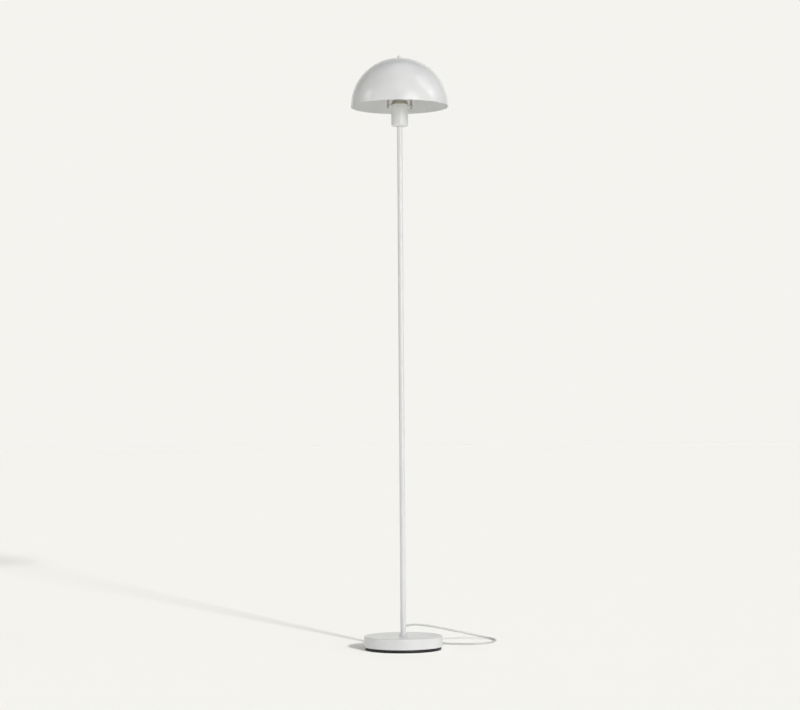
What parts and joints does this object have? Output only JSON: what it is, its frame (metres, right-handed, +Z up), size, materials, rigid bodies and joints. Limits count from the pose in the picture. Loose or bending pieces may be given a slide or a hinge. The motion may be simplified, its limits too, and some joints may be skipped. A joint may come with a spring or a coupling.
{
  "type": "floor lamp",
  "caption": "Slim floor lamp with a round weighted base, a straight pole and a half-round shade that tilts on a yoke over the lampholder.",
  "frame": {"origin": "middle of the underside of the base, on the floor", "axes": "+Z up along the pole, +X to the viewer's right, +Y away from the viewer"},
  "size_m": [0.3704, 0.3824, 1.5182],
  "materials": {
    "white_steel": "satin powder coat",
    "cast_weight": "raw casting",
    "zinc_steel": "zinc plated",
    "brass": "plain",
    "black_plastic": "moulded",
    "black_foam": "closed-cell foam",
    "white_plastic": "moulded",
    "holder_metal": "dark nickel plated",
    "ceramic": "glazed ceramic",
    "cord_white": "soft vinyl sheath",
    "wire_sheath": "insulation",
    "opal_glass": "opal",
    "cap_metal": "nickel plated",
    "pin_metal": "nickel plated"
  },
  "bodies": {
    "root": {"floor_pad": "black_foam", "bottom_cover": "black_plastic", "cover_screws": "zinc_steel", "base_weight": "cast_weight", "base_shell": "white_steel", "base_washer": "zinc_steel", "base_bolt": "zinc_steel", "pole_foot_bush": "zinc_steel", "pole_collar": "white_steel", "lower_pole": "white_steel", "middle_pole": "white_steel", "upper_pole": "white_steel", "pole_connectors": "zinc_steel", "pole_top_bush": "zinc_steel", "cord_bush": "white_plastic", "conductors": "wire_sheath", "holder_nipple": "zinc_steel", "holder_cup": "white_steel", "cup_locknut": "zinc_steel", "lampholder_cap": "white_plastic", "lampholder_body": "white_plastic", "contact_block": "ceramic", "screw_shell": "brass", "centre_contact": "brass", "holder_collar": "white_steel", "locking_ring": "holder_metal", "pivot_washers": "white_plastic", "pivot_screws": "holder_metal", "bulb_cap": "cap_metal", "bulb_globe": "opal_glass", "cord": "cord_white", "cord_tail": "cord_white", "cord_coil": "cord_white", "switch_base": "white_plastic", "switch_cover": "white_plastic", "switch_spring": "zinc_steel", "switch_screws": "zinc_steel", "plug_body": "white_plastic", "plug_pins": "pin_metal"},
    "shade_head": {"yoke": "holder_metal", "shade": "white_steel", "shade_washer": "white_plastic", "finial": "white_steel", "finial_nut": "zinc_steel"},
    "foot_button": {"switch_button": "white_plastic"}
  },
  "joints": [
    {"name": "shade_tilt", "type": "hinge", "parent": "root", "child": "shade_head", "pos_m": [0, 0, 1.38775], "axis": [0.9563, 0.2924, 0], "range_deg": [-40, 40]},
    {"name": "switch_press", "type": "slide", "parent": "root", "child": "foot_button", "axis": [0, 0, -1], "range_m": [0, 0.0035], "stiffness_N_per_m": 600, "springref_m": -0.004, "deforming": ["switch_spring"]}
  ]
}
